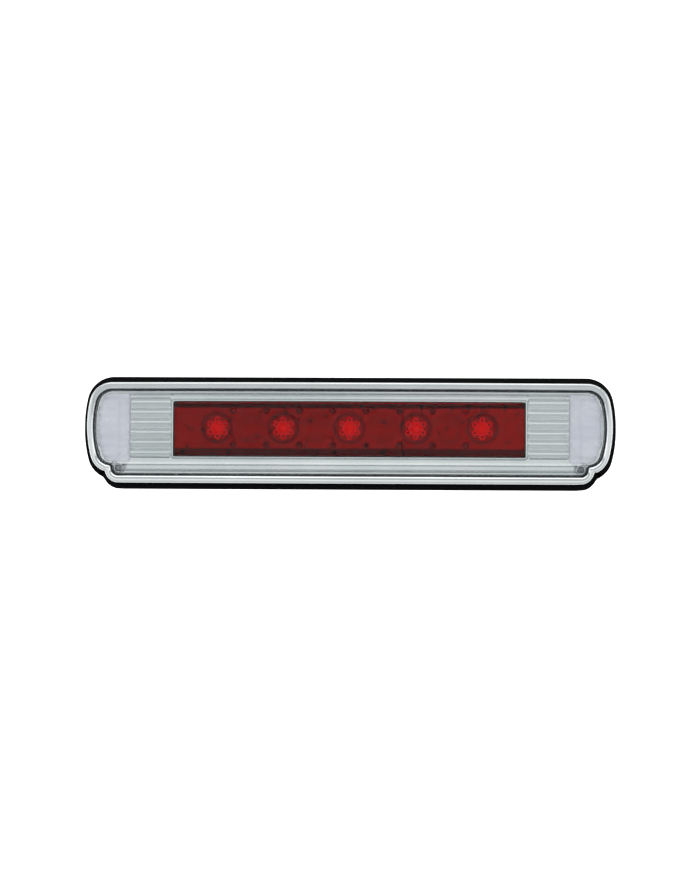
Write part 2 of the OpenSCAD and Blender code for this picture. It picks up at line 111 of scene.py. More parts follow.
# Matt white paper: even and bright behind the lamp, with no shine
paper, tree, shader = material("matt_white_studio_paper")
where = add(tree, "ShaderNodeTexCoord")
grain = add(tree, "ShaderNodeTexNoise", [("Vector", where, "Object")], inputs={"Scale": 60.0, "Detail": 4.0})
tone = stops(add(tree, "ShaderNodeValToRGB", [("Fac", grain, "Fac")]), (0.0, "#C9CBCC"), (1.0, "#D2D4D5"))
place = add(tree, "ShaderNodeSeparateXYZ", [("Vector", where, "Object")])
lit = add(tree, "ShaderNodeMapRange", [("Value", place, "Y")],
          inputs={"From Min": 0.15, "From Max": 0.45, "To Max": 1.1}, interpolation_type="SMOOTHSTEP")
tree.links.new(tone.outputs["Color"], shader.inputs["Base Color"])
shader.inputs["Emission Color"].default_value = srgb("#FFFFFF")
tree.links.new(lit.outputs["Result"], shader.inputs["Emission Strength"])
shader.inputs["Roughness"].default_value = 0.9

# The sweep: floor, a quarter-round cove and the wall, one strip along X
cove = np.linspace(0, math.pi / 2, 16)
sweep_y = np.concatenate([[SWEEP_FRONT], WALL_Y - COVE_R + COVE_R * np.sin(cove), [WALL_Y]])
sweep_z = np.concatenate([[FLOOR_Z], FLOOR_Z + COVE_R - COVE_R * np.cos(cove), [WALL_TOP]])
edges = [np.stack([np.full_like(sweep_y, x), sweep_y, sweep_z], -1) for x in (-SWEEP_HALF, SWEEP_HALF)]
sweep = np.stack(edges, 1)
floor = mesh_piece("studio_sweep", sweep.reshape(-1, 3), grid_faces(len(sweep_y), 2), paper)

# The room, by height: pale grey low down, lighter level with the lamp, a soft grey and then the ceiling
world = bpy.data.worlds.new("soft_studio")
bpy.context.scene.world = world
world.use_nodes = True
sky = world.node_tree
way = add(sky, "ShaderNodeTexCoord")
height = add(sky, "ShaderNodeSeparateXYZ", [("Vector", way, "Generated")])
spread = add(sky, "ShaderNodeMapRange", [("Value", height, "Z")], inputs={"From Min": -1.0, "From Max": 1.0})
shade = stops(add(sky, "ShaderNodeValToRGB", [("Fac", spread, "Result")]),
              (0.0, "#979C9E"), (0.36, "#A4A9AA"), (0.46, "#D2D6D6"), (0.5, "#E4E8E8"), (0.58, "#E8ECEC"),
              (0.60, "#FFFFFF"), (0.64, "#FFFFFF"), (0.67, "#C6CACC"), (0.92, "#BCC2C4"), (0.97, "#FFFFFF"))
background = sky.nodes["Background"]
sky.links.new(shade.outputs["Color"], background.inputs["Color"])
background.inputs["Strength"].default_value = 1.02


def softbox(name, place, target, size, radiance):
    """A rectangular area light at place, facing target, in millimetres; its power is radiance times pi
    times its area."""
    data = bpy.data.lights.new(name, "AREA")
    data.shape, data.size, data.size_y = "RECTANGLE", size[0] / 1000, size[1] / 1000
    data.energy = radiance * math.pi * data.size * data.size_y
    lamp = bpy.data.objects.new(name, data)
    lamp.location = Vector(place) / 1000
    lamp.rotation_euler = (Vector(target) - Vector(place)).to_track_quat("-Z", "Y").to_euler()
    bpy.context.scene.collection.objects.link(lamp)


softbox("overhead_strip", (0, -450, 1300), (0, 0, 0), (2600, 340), 2.3)
softbox("left_softbox", (-1500, -500, 200), (0, 0, 0), (300, 1200), 1.3)
softbox("right_softbox", (1500, -500, 200), (0, 0, 0), (300, 1200), 1.3)

# A long lens from 1.5 m, a degree and a half to the right and below, and very slightly rolled
CAMERA_AWAY = 1500.0
CAMERA_SIDE = math.radians(1.5)
CAMERA_BELOW = math.radians(1.5)
CAMERA_ROLL = math.radians(0.285)
CAMERA_LENS = 84.7
AIM = Vector((0.4, -3.0, -0.6))

lens = bpy.data.cameras.new("camera")
lens.lens, lens.sensor_width, lens.clip_end = CAMERA_LENS, 36.0, 100.0
camera = bpy.data.objects.new("camera", lens)
back = Vector((math.sin(CAMERA_SIDE), -math.cos(CAMERA_SIDE), -math.sin(CAMERA_BELOW))).normalized()
turn = (-back).to_track_quat("-Z", "Y").to_matrix().to_4x4() @ Matrix.Rotation(CAMERA_ROLL, 4, "Z")
camera.matrix_world = Matrix.Translation((AIM + back * CAMERA_AWAY) / 1000) @ turn
bpy.context.scene.collection.objects.link(camera)
bpy.context.scene.camera = camera
bpy.context.scene.view_settings.view_transform = "Standard"
bpy.context.scene.cycles.max_bounces = 24
bpy.context.scene.cycles.transmission_bounces = 20
bpy.context.scene.cycles.glossy_bounces = 8

# ---- Gasket -------------------------------------------------------------------------------
# A die-cut ring of black closed-cell foam rubber, 3 mm thick, that seals the lamp to the cab's
# panel. It stands out past the rim all round, and its cut edge bulges a little where it is squeezed.

cover_low, cover_high = (np.array(c) * 1000 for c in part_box("cover_lens"))
JOINT_IN = 0.2
HALF = cover_high[0] + JOINT_IN
TOP = cover_high[2] + JOINT_IN
LOW = cover_low[2] - JOINT_IN
LOBE_IN, LOBE_H = 13.4, 7.3
SIDE_R, TOP_R, LOW_R, LOBE_R, FILLET_R = 78.0, 11.7, 10.2, 4.7, 2.2
SIDE_C = np.array([HALF - SIDE_R, (TOP + LOW) / 2 + 4.2])
END_LOW = LOW + LOBE_H


def arc_centre(r, z):
    """The centre of an arc of radius r at height z that touches the side arc from inside."""
    return np.array([SIDE_C[0] + math.sqrt((SIDE_R - r) ** 2 - (z - SIDE_C[1]) ** 2), z])


TOP_C = arc_centre(TOP_R, TOP - TOP_R)
LOW_C = arc_centre(LOW_R, END_LOW + LOW_R)
LOBE_C = np.array([HALF - LOBE_IN - LOBE_R, LOW + LOBE_R])
TOP_A, LOW_A = (math.atan2(*(c - SIDE_C)[::-1]) for c in (TOP_C, LOW_C))


def outside(x, z, level=0.0):
    """Distance outside the cover's outline: the nearer of the bulged end and the lower lobe, with the
    inner corner between them rounded by the fillet, or by a little more than the level it is read at."""
    x = np.abs(x)
    angle = np.arctan2(z - SIDE_C[1], x - SIDE_C[0])
    side = np.hypot(x - SIDE_C[0], z - SIDE_C[1]) - SIDE_R
    top = np.where(x > TOP_C[0], np.hypot(x - TOP_C[0], z - TOP_C[1]) - TOP_R, z - TOP)
    low = np.where(x > LOW_C[0], np.hypot(x - LOW_C[0], z - LOW_C[1]) - LOW_R, END_LOW - z)
    on_side = (x > SIDE_C[0]) & (angle > LOW_A) & (angle < TOP_A)
    end = np.where(on_side, side, np.where(z > SIDE_C[1], top, low))
    corner = (x > LOBE_C[0]) & (z < LOBE_C[1])
    lobe = np.where(corner, np.hypot(x - LOBE_C[0], z - LOBE_C[1]) - LOBE_R,
                    np.maximum(np.maximum(x - HALF + LOBE_IN, LOW - z), z - SIDE_C[1]))
    r = np.maximum(FILLET_R, level + 1.2)
    both = np.hypot(np.maximum(r - end, 0), np.maximum(r - lobe, 0))
    return np.maximum(r, np.minimum(end, lobe)) - both


def arc(centre, r, start, end, n):
    """n points of an arc, without its last one."""
    a = np.radians(start) + (np.radians(end) - np.radians(start)) * np.arange(n) / n
    return centre + r * np.stack([np.cos(a), np.sin(a)], -1)


# One half of the outline from the bottom's middle to the top's, then its mirror image
ALONG = 48
run_low = np.stack([np.linspace(0, LOBE_C[0], ALONG, endpoint=False), np.full(ALONG, LOW)], -1)
run_top = np.stack([np.linspace(TOP_C[0], 0, ALONG + 1), np.full(ALONG + 1, TOP)], -1)
fillet_c = np.array([HALF - LOBE_IN + FILLET_R, END_LOW - FILLET_R])
half_loop = np.concatenate([
    run_low, arc(LOBE_C, LOBE_R, -90, 0, 14), arc(fillet_c, FILLET_R, 180, 90, 8),
    arc(LOW_C, LOW_R, -90, math.degrees(LOW_A), 16),
    arc(SIDE_C, SIDE_R, math.degrees(LOW_A), math.degrees(TOP_A), 24),
    arc(TOP_C, TOP_R, math.degrees(TOP_A), 90, 22), run_top])
base_loop = np.concatenate([half_loop, half_loop[-2:0:-1] * [-1, 1]])

# Directions in which the loop is moved outwards: its normals, smoothed so that they never cross
tangent = np.roll(base_loop, -1, 0) - np.roll(base_loop, 1, 0)
tangent /= np.linalg.norm(tangent, axis=1)[:, None]
outward = np.stack([tangent[:, 1], -tangent[:, 0]], -1)
step = np.linalg.norm(np.roll(base_loop, -1, 0) - base_loop, axis=1)
station = np.concatenate([[0], np.cumsum(step)[:-1]])
gap = np.abs(station[:, None] - station[None, :])
gap = np.minimum(gap, step.sum() - gap)
outward = np.exp(-(gap / 5.0) ** 2) * step @ outward
outward /= np.linalg.norm(outward, axis=1)[:, None]


def loop(level, distance=outside):
    """The outline moved out to a level of a distance function, point for point along the loop: each point
    slides along its own direction until the distance there equals the level."""
    slide = np.full(len(base_loop), float(level))
    for _ in range(30):
        p = base_loop + slide[:, None] * outward
        slide += 0.7 * (level - distance(p[:, 0], p[:, 1], level))
    return base_loop + slide[:, None] * outward


GASKET_BAND, GASKET_TOP, GASKET_LOW, GASKET_T = 8.6, 1.6, 2.0, 3.0


def outside_gasket(x, z, level=0.0):
    """Distance outside the cover's outline when that is moved a little up and a little down."""
    return np.minimum(outside(x, z - GASKET_TOP, level), outside(x, z + GASKET_LOW, level))


def swept(name, loops, depths, finish, wrap=True):
    """A surface through loops of the outline, one for each point of a cross-section, at the y of each."""
    points = np.stack([np.stack([p[:, 0], y, p[:, 1]], -1) for p, y in zip(loops, depths)])
    return mesh_piece(name, points.reshape(-1, 3), grid_faces(*points.shape[:2], wrap, True), finish)


HOLE_SIDES = 48


def drill(piece, spots, r, bottom, top):
    """Cuts round holes along Y from y = bottom to y = top at each (x, z)."""
    ring = np.linspace(0, 2 * math.pi, HOLE_SIDES, endpoint=False)
    faces = grid_faces(2, HOLE_SIDES, False, True).tolist()
    faces += [list(range(HOLE_SIDES - 1, -1, -1)), list(range(HOLE_SIDES, 2 * HOLE_SIDES))]
    for x, z in spots:
        rims = [np.stack([x + r * np.cos(ring), np.full(HOLE_SIDES, y), z + r * np.sin(ring)], -1)
                for y in (bottom, top)]
        mesh = bpy.data.meshes.new("cutter")
        mesh.from_pydata((np.concatenate(rims) / 1000).tolist(), [], faces)
        cutter = bpy.data.objects.new("cutter", mesh)
        bpy.context.scene.collection.objects.link(cutter)
        cut = piece.modifiers.new("hole", "BOOLEAN")
        cut.operation, cut.solver, cut.object = "DIFFERENCE", "EXACT", cutter
        graph = bpy.context.evaluated_depsgraph_get()
        done = bpy.data.meshes.new_from_object(piece.evaluated_get(graph))
        piece.modifiers.remove(cut)
        piece.data = done
        bpy.data.objects.remove(cutter)
    return piece


TUB_HALF = HALF - 1.2
TUB_Z = (TOP + LOW) / 2 + 4.95
TUB_H, TUB_R = 49.5, 10.0


def tub_loop(clearance):
    """The nearest point of the tub's rounded outline to each point of the loop."""
    core = np.array([TUB_HALF - TUB_R, TUB_H / 2 - TUB_R])
    p = base_loop - [0, TUB_Z]
    inner = np.clip(p, -core, core)
    ray = p - inner
    return inner + [0, TUB_Z] + ray / np.linalg.norm(ray, axis=1)[:, None] * (TUB_R + clearance)


# Closed-cell foam rubber, die-cut: a deep matt black with fine pits and hardly any shine
foam, tree, shader = material("die_cut_closed_cell_foam_rubber")
where = add(tree, "ShaderNodeTexCoord")
cells = add(tree, "ShaderNodeTexVoronoi", [("Vector", where, "Object")], inputs={"Scale": 1400.0})
cloud = add(tree, "ShaderNodeTexNoise", [("Vector", where, "Object")], inputs={"Scale": 45.0, "Detail": 5.0})
tone = stops(add(tree, "ShaderNodeValToRGB", [("Fac", cloud, "Fac")]), (0.3, "#060607"), (0.7, "#0E0E0F"))
rough = add(tree, "ShaderNodeMapRange", [("Value", cloud, "Fac")], inputs={"To Min": 0.7, "To Max": 0.9})
pits = add(tree, "ShaderNodeBump", [("Height", cells, "Distance")],
           inputs={"Strength": 0.35, "Distance": 0.0003})
tree.links.new(tone.outputs["Color"], shader.inputs["Base Color"])
tree.links.new(rough.outputs["Result"], shader.inputs["Roughness"])
tree.links.new(pits.outputs["Normal"], shader.inputs["Normal"])
shader.inputs["IOR"].default_value = 1.45
shader.inputs["Specular IOR Level"].default_value = 0.12

EDGE = 0.35
section = [(-EDGE, 0.0), (-0.08, -0.6), (0.0, -GASKET_T / 2), (-0.08, -GASKET_T + 0.6), (-EDGE, -GASKET_T)]
loops = [loop(GASKET_BAND + d, outside_gasket) for d, _ in section] + [tub_loop(0.3), tub_loop(0.3)]
levels = [np.full(len(base_loop), y) for y in [y for _, y in section] + [-GASKET_T, 0.0]]
CAB_X, CAB_Z, CAB_R = LOBE_C[0], LOW + 4.5, 2.75
CAB_HOLES = [(-CAB_X, CAB_Z), (CAB_X, CAB_Z)]
gasket = swept("foam_gasket", loops, levels, foam)
drill(gasket, CAB_HOLES, CAB_R, -10, 10)
edges = gasket.modifiers.new("edges", "BEVEL")
edges.width, edges.segments, edges.limit_method, edges.angle_limit = 0.0002, 2, "ANGLE", math.radians(50)
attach(gasket, "lamp")
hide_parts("gasket")

# ---- Rim ----------------------------------------------------------------------------------
# The raised rim of the bezel: ABS, copper and nickel plated and then chromed to a mirror. Its outer
# wall flares towards the panel, so that it is widest where the bowed front stands furthest out.

FRONT, BOW_R = 24.0, 2300.0
RIM_BAND, RIM_RISE, RIM_BASE = 5.5, 0.5, -5.5


def bow(x, depth):
    """y of the bowed front at this x, at a depth behind the rim's crest."""
    return BOW_R - FRONT - np.sqrt((BOW_R - depth) ** 2 - x ** 2)


def outside_rim(x, z, level=0.0):
    """Distance outside the cover's outline, read a little lower as the level goes outwards."""
    return outside(x, z - RIM_RISE * np.clip(level / RIM_BAND, 0, 1), level)


# ABS plated with nickel and chromed: a bright neutral mirror, with the slight waves of a moulding
chrome, tree, shader = material("mirror_chrome_plated_abs")
where = add(tree, "ShaderNodeTexCoord")
peel = add(tree, "ShaderNodeTexNoise", [("Vector", where, "Object")], inputs={"Scale": 95.0, "Detail": 2.0})
haze = add(tree, "ShaderNodeTexNoise", [("Vector", where, "Object")], inputs={"Scale": 22.0, "Detail": 6.0})
tone = stops(add(tree, "ShaderNodeValToRGB", [("Fac", haze, "Fac")]), (0.35, "#E0E3E3"), (0.65, "#E9EBEB"))
rough = add(tree, "ShaderNodeMapRange", [("Value", haze, "Fac")], inputs={"To Min": 0.045, "To Max": 0.09})
wave = add(tree, "ShaderNodeBump", [("Height", peel, "Fac")], inputs={"Strength": 0.05, "Distance": 0.0004})
tree.links.new(tone.outputs["Color"], shader.inputs["Base Color"])
tree.links.new(rough.outputs["Result"], shader.inputs["Roughness"])
tree.links.new(wave.outputs["Normal"], shader.inputs["Normal"])
shader.inputs["Metallic"].default_value = 1.0

CREST_OUT, ROLL_R = 3.7, 1.2
# The wall's draft, and how much wider the rim is underneath, from this far out
DRAFT, UNDER, UNDER_FROM = 0.045, 1.4, 2.2
ROLL_D, WALL_T = 1.5, 1.6
# The rim's section as pairs: distance outside the cover's outline, depth behind the crest
roll = np.radians(np.linspace(0, 90, 9))
outer_roll = [(CREST_OUT + ROLL_R * math.cos(a), ROLL_D * (1 - math.sin(a))) for a in roll]
inner_slope = [(3.2, 0.05), (2.7, 0.18), (2.2, 0.4), (1.7, 0.7), (1.25, 1.05), (0.9, 1.5), (0.68, 2.1)]
section = outer_roll + inner_slope + [(0.6, 3.0), (0.6, 8.6), (1.8, 8.6), (2.0, 3.4), (3.2, 1.9), (3.5, 3.4)]
under = UNDER * np.clip(-outward[:, 1], 0, 1) ** 2
widen = [under * np.clip((d - UNDER_FROM) / (CREST_OUT - UNDER_FROM), 0, 1) for d, _ in section]
loops = [loop(d, outside_rim) + outward * more[:, None] for (d, _), more in zip(section, widen)]
levels = [bow(p[:, 0], depth) for p, (_, depth) in zip(loops, section)]
# The base: flared outwards with the wall's height, so that the straight crest has a crowned foot
foot = loop(CREST_OUT + ROLL_R, outside_rim) + outward * under[:, None]
tall = RIM_BASE - bow(foot[:, 0], ROLL_D)
wall_foot = [foot + outward * (DRAFT * tall * part)[:, None] for part in (0.33, 0.66, 1.0)]
wall_y = [bow(foot[:, 0], ROLL_D) + tall * part for part in (0.33, 0.66, 1.0)]
inner_foot = [wall_foot[-1] - outward * WALL_T]
rim = swept("chrome_rim", inner_foot + wall_foot[::-1] + loops, [wall_y[-1]] + wall_y[::-1] + levels, chrome)
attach(rim, "lamp")
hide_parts("bezel")

# ---- Reflector field ----------------------------------------------------------------------
# The floor of the bezel, the same chromed moulding as the rim: horizontal reeds on both sides of the
# brake lens, a raised frame round that lens, a lower shelf, and a deep bowl behind each cargo lens.

FIELD_D, SHELF_D, LEDGE_D = 7.5, 9.5, 5.0
SHELF_Z = LOW + 7.3
REED_PITCH, REED_COUNT, REED_H = 7.4, 6, 1.27
# Widths of the reeds' rolled ends, at the lens and at the cargo lamp, and how far they round outwards
REED_START_W, REED_END_W, REED_NOSE, REED_SET = 1.6, 2.2, 1.6, 1.4
# Roundness of a reed's end seen from in front: 1 would bring it to a full half circle
END_ROUND = 0.92
# How far a reed's flanks lean at the valley between two reeds
FLANK = math.radians(38)
# The lens's frame: its width, its roll and its front's depth, then the gap to the lens
FRAME_W, FRAME_ROLL, FRAME_D, FRAME_GAP, RECESS_D = 2.4, 1.1, 5.0, 0.6, 3.2
# The lip above the shelf: its slope, where the slope starts and how wide it is
LIP_SLOPE, LIP_FROM, LIP_W = 0.13, 2.1, 1.7
# The step down to the shelf: where it starts and how wide it is
DROP_FROM, DROP_W = 0.35, 0.8
# The ledge under the cover's edge: its width, then the width of its fall to the field
LEDGE_W, LEDGE_FALL = 3.0, 1.3
REED_Z = (TOP + LOW) / 2 + 3.5
lens_low, lens_high = (np.array(c) * 1000 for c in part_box("brake_lens"))
LENS_HALF = (lens_high[0] - lens_low[0]) / 2
LENS_Z, LENS_H = (lens_high[2] + lens_low[2]) / 2, (lens_high[2] - lens_low[2]) / 2
bulb_low, bulb_high = (np.array(c) * 1000 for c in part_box("bulb_right"))
BULB_X, BULB_Z = (bulb_low[0] + bulb_high[0]) / 2, (bulb_low[2] + bulb_high[2]) / 2
# Half sizes of the bowl behind a cargo lens, its corners, the set-in of its rim, and its depth
BOWL_W, BOWL_H, BOWL_R, BOWL_SET, BOWL_D = 11.0, 21.8, 5.0, 1.2, 26.5
CARGO_IN = BULB_X - BOWL_W + 0.3


def smooth(t):
    """0 below 0, 1 above 1, and a smooth step between."""
    t = np.clip(t, 0, 1)
    return t * t * (3 - 2 * t)


def box_distance(x, z, half_w, half_h, r):
    """Distance outside a rounded rectangle about the origin."""
    qx, qz = np.abs(x) - half_w + r, np.abs(z) - half_h + r
    return np.hypot(np.maximum(qx, 0), np.maximum(qz, 0)) + np.minimum(np.maximum(qx, qz), 0) - r


def reed_phase(z):
    """-1 to 1 across each reed, 0 on its crest."""
    return 2 * ((z - REED_Z) / REED_PITCH + REED_COUNT / 2) % 2 - 1


def field_depth(x, z):
    """Depth of the chromed floor: flat, less the reeds, each a shallow arc with rounded ends, a lip and a
    step down to the shelf, the lens's raised and rounded frame with the recess inside it, a ledge all
    round under the cover's edge, and a quarter-ellipse bowl under each cargo lens."""
    x = np.abs(x)
    depth = FIELD_D + np.zeros_like(x + z)
    across = reed_phase(z)
    round_top = np.sqrt(np.maximum(1 - END_ROUND * across ** 2, 0))
    start = LENS_HALF + FRAME_W
    end = CARGO_IN - REED_SET + REED_NOSE * round_top
    ends = np.sqrt(np.clip((x - start) / REED_START_W, 0, 1)) * np.sqrt(np.clip((end - x) / REED_END_W, 0, 1))
    rows = smooth((REED_COUNT * REED_PITCH / 2 - np.abs(z - REED_Z)) / 0.5 + 0.5)
    arc_top = np.sqrt(1 - (math.sin(FLANK) * across) ** 2)
    depth -= REED_H * (arc_top - math.cos(FLANK)) / (1 - math.cos(FLANK)) * ends * rows
    lip = z - SHELF_Z
    drop = smooth((DROP_FROM - lip) / DROP_W)
    depth -= LIP_SLOPE * np.clip(LIP_FROM - lip, 0, LIP_W) * (1 - drop) * smooth((CARGO_IN + 4 - x) / 4)
    depth += (SHELF_D - FIELD_D) * drop * smooth((HALF - x) / 2)
    frame_out = box_distance(x, z - LENS_Z, LENS_HALF + FRAME_W, LENS_H + FRAME_W, 2.6)
    up = np.clip(-frame_out / FRAME_ROLL + 0.05, 0, 1)
    depth = np.where(frame_out < 0.05, depth + (FRAME_D - depth) * np.sqrt(up * (2 - up)), depth)
    recess = box_distance(x, z - LENS_Z, LENS_HALF + FRAME_GAP, LENS_H + FRAME_GAP, 2.0)
    depth += RECESS_D * smooth(-recess / 0.3)
    ledge = outside(x, z) + LEDGE_W
    ledge_d = LEDGE_D + 0.1 * np.clip(-ledge, 0, 1)
    slope = np.clip(-ledge / LEDGE_FALL, 0, 1)
    depth = ledge_d + (depth - ledge_d) * np.sqrt(slope * (2 - slope))
    bowl = box_distance(x - BULB_X, z - BULB_Z, BOWL_W - BOWL_SET, BOWL_H - BOWL_SET, BOWL_R)
    fall = np.clip(-bowl / (BOWL_W - 1.6), 0, 1)
    depth += (BOWL_D - FIELD_D) * np.where(bowl < 0, np.sqrt(fall * (2 - fall)), 0)
    return depth


def clustered(start, end, spacing, places, width=1.4, fine=0.12):
    """Sorted stations from start to end at a spacing, with fine ones on both sides of each place."""
    near = np.arange(-width, width + fine / 2, fine)
    all_of = np.concatenate([np.arange(start, end, spacing), [end]] + [p + near for p in places])
    all_of = np.unique(np.round(all_of[(all_of >= start) & (all_of <= end)], 2))
    keep = np.concatenate([[True], np.diff(all_of) > 0.06])
    return all_of[keep]


reach = HALF + 3
xs = clustered(0, reach, 2.4, [LENS_HALF + 2.2, LENS_HALF + 5.6, CARGO_IN - 0.6, BULB_X + BOWL_W - 1.8],
               fine=0.2)
xs = np.concatenate([-xs[:0:-1], xs])
zs = clustered(LOW - 3, TOP + 3, 0.62, [SHELF_Z, SHELF_Z + 1.3, LENS_Z - LENS_H - 2.2, LENS_Z + LENS_H + 2.2],
               fine=0.2)
gx, gz = np.meshgrid(xs, zs)
gy = bow(gx, field_depth(gx, gz))
points = np.stack([gx, gy, gz], -1).reshape(-1, 3)
faces = grid_faces(len(zs), len(xs))
centre = points[faces].mean(1)
kept = outside(centre[:, 0], centre[:, 2]) < 1.6
# Openings for the two bulbs, and for the light behind the brake lens
BULB_HOLE_R = 7.6
for side in (-1, 1):
    kept &= np.hypot(centre[:, 0] - side * BULB_X, centre[:, 2] - BULB_Z) > BULB_HOLE_R
kept &= box_distance(centre[:, 0], centre[:, 2] - LENS_Z, LENS_HALF - 1.2, LENS_H - 1.2, 1.0) > 0
field = mesh_piece("chrome_field", points, faces[kept], chrome)
thick = field.modifiers.new("wall", "SOLIDIFY")
thick.thickness, thick.offset = 0.0008, -1
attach(field, "lamp")
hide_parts("bezel")

# ---- Cover joint --------------------------------------------------------------------------
# A bead of black sealant that glues the cover into its groove. It is laid as a paste and settles a
# little below the edges on both sides, so it shows as a thin dark line.

# Silicone sealant, cured in air: a satin black line with a slightly lumpy surface
bead, tree, shader = material("cured_black_silicone_sealant")
where = add(tree, "ShaderNodeTexCoord")
cloud = add(tree, "ShaderNodeTexNoise", [("Vector", where, "Object")], inputs={"Scale": 120.0, "Detail": 3.0})
tone = stops(add(tree, "ShaderNodeValToRGB", [("Fac", cloud, "Fac")]), (0.3, "#16181A"), (0.7, "#24272A"))
rough = add(tree, "ShaderNodeMapRange", [("Value", cloud, "Fac")], inputs={"To Min": 0.38, "To Max": 0.55})
lumps = add(tree, "ShaderNodeBump", [("Height", cloud, "Fac")], inputs={"Strength": 0.2, "Distance": 0.0003})
tree.links.new(tone.outputs["Color"], shader.inputs["Base Color"])
tree.links.new(rough.outputs["Result"], shader.inputs["Roughness"])
tree.links.new(lumps.outputs["Normal"], shader.inputs["Normal"])
shader.inputs["IOR"].default_value = 1.41

# The bead's section: distance outside the cover's outline, depth behind the crest
section = [(0.5, 4.4), (0.58, 3.1), (0.4, 3.3), (0.2, 3.35), (0.0, 3.3), (-0.18, 3.1), (-0.1, 4.4)]
loops = [loop(d) for d, _ in section]
joint = swept("sealant_bead", loops, [bow(p[:, 0], e) for p, (_, e) in zip(loops, section)], bead)
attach(joint, "lamp")
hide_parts("cover_seal")

# ---- Brake lens ---------------------------------------------------------------------------
# Injection-moulded red acrylic, 2.5 mm thick and polished on both faces, dropped into the bezel's
# frame. A thin black seal closes the gap round it.


CORNER_POINTS, SIDE_POINTS = 9, 26


def plate(name, half_w, half_h, centre_z, corner, front, back, round_r, finish):
    """A bowed rounded rectangle: rings from its edge inwards to its own middle line, once for the front
    and once for the back, with the front edge rolled over."""
    starts = (0, 90, 180, 270)
    a = np.radians(np.concatenate([np.linspace(q, q + 90, CORNER_POINTS) for q in starts]))
    cx = half_w - corner
    cz = half_h - corner
    sx = np.repeat([1, -1, -1, 1], CORNER_POINTS) * cx
    sz = np.repeat([1, 1, -1, -1], CORNER_POINTS) * cz
    ring = np.stack([sx + corner * np.cos(a), sz + corner * np.sin(a)], -1)
    # More points along the two long sides, so that they follow the bow
    along = np.linspace(cx, -cx, SIDE_POINTS + 2)[1:-1]
    top = np.stack([along, np.full(SIDE_POINTS, half_h)], -1)
    low = np.stack([-along, np.full(SIDE_POINTS, -half_h)], -1)
    half_way = 3 * CORNER_POINTS
    ring = np.concatenate([ring[:CORNER_POINTS], top, ring[CORNER_POINTS:half_way], low, ring[half_way:]])
    middle = np.clip(ring[:, 0], -half_w + half_h * 0.9, half_w - half_h * 0.9)
    side = np.stack([middle, np.zeros(len(ring))], -1)
    rolls = np.radians(np.linspace(0, 90, 6))
    rows = [(0, back, share) for share in (1.0, 0.7, 0.4, 0.15, 0)]
    rows += [(round_r * (1 - math.cos(t)), front + round_r * (1 - math.sin(t)), 0) for t in rolls]
    rows += [(round_r, front, share) for share in (0.15, 0.4, 0.7, 1.0)]
    points = []
    for inset, depth, share in rows:
        shrunk = ring * [(half_w - inset) / half_w, (half_h - inset) / half_h]
        p = shrunk * (1 - share) + side * share
        points.append(np.stack([p[:, 0], bow(p[:, 0], depth), p[:, 1] + centre_z], -1))
    faces = grid_faces(len(points), len(ring), False, True)
    return mesh_piece(name, np.concatenate(points), faces, finish)


def coat(finish, *names):
    """Gives a finish to CAD nodes whose shape stays as it is."""
    for name in names:
        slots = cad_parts[name].data.materials
        slots.clear()
        slots.append(finish)


# Acrylic, moulded and polished: a deep clear red that shows the lamps behind it, with a soft gloss
red, tree, shader = material("moulded_transparent_red_acrylic")
where = add(tree, "ShaderNodeTexCoord")
flow = add(tree, "ShaderNodeTexNoise", [("Vector", where, "Object")], inputs={"Scale": 9.0, "Detail": 3.0})
tone = stops(add(tree, "ShaderNodeValToRGB", [("Fac", flow, "Fac")]), (0.3, "#F8060E"), (0.7, "#FF0A12"))
peel = add(tree, "ShaderNodeTexNoise", [("Vector", where, "Object")], inputs={"Scale": 40.0, "Detail": 1.0})
wave = add(tree, "ShaderNodeBump", [("Height", peel, "Fac")], inputs={"Strength": 0.04, "Distance": 0.0004})
tree.links.new(tone.outputs["Color"], shader.inputs["Base Color"])
tree.links.new(wave.outputs["Normal"], shader.inputs["Normal"])
shader.inputs["Transmission Weight"].default_value = 1.0
shader.inputs["Roughness"].default_value = 0.02
shader.inputs["IOR"].default_value = 1.49
shader.inputs["Specular IOR Level"].default_value = 0.1
shader.inputs["Specular Tint"].default_value = srgb("#5A3034")

LENS_CORNER, LENS_FRONT, LENS_BACK, LENS_ROLL = 1.5, 5.2, 7.7, 0.4
brake = plate("red_brake_lens", LENS_HALF, LENS_H, LENS_Z, LENS_CORNER, LENS_FRONT, LENS_BACK, LENS_ROLL, red)
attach(brake, "lamp")
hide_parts("brake_lens")
coat(bead, "brake_lens_seal")

# ---- Cargo lenses -------------------------------------------------------------------------
# Milky clear polycarbonate, moulded with horizontal flutes that carry the reeds' line round each end
# of the lamp. Each lens is a low dome that rolls down to the field at its outer edge.

# Polycarbonate with an opal filler, moulded: milky and faintly lavender, with a faint painted glow that
# lightens it, though the lens is no lamp
milky, tree, shader = material("moulded_opal_polycarbonate")
where = add(tree, "ShaderNodeTexCoord")
cloud = add(tree, "ShaderNodeTexNoise", [("Vector", where, "Object")], inputs={"Scale": 55.0, "Detail": 5.0})
tone = stops(add(tree, "ShaderNodeValToRGB", [("Fac", cloud, "Fac")]), (0.3, "#EEEEF6"), (0.7, "#F8F8FD"))
rough = add(tree, "ShaderNodeMapRange", [("Value", cloud, "Fac")], inputs={"To Min": 0.18, "To Max": 0.34})
tree.links.new(tone.outputs["Color"], shader.inputs["Base Color"])
tree.links.new(rough.outputs["Result"], shader.inputs["Roughness"])
shader.inputs["Transmission Weight"].default_value = 0.12
shader.inputs["IOR"].default_value = 1.58
shader.inputs["Emission Color"].default_value = srgb("#E4E4F0")
shader.inputs["Emission Strength"].default_value = 0.16

# Depth of the dome's front, its inset from the cover's outline, and the rolls at its edges
CARGO_D, CARGO_EDGE, CARGO_ROLL, CARGO_INNER_ROLL = 4.2, 2.1, 3.4, 1.6
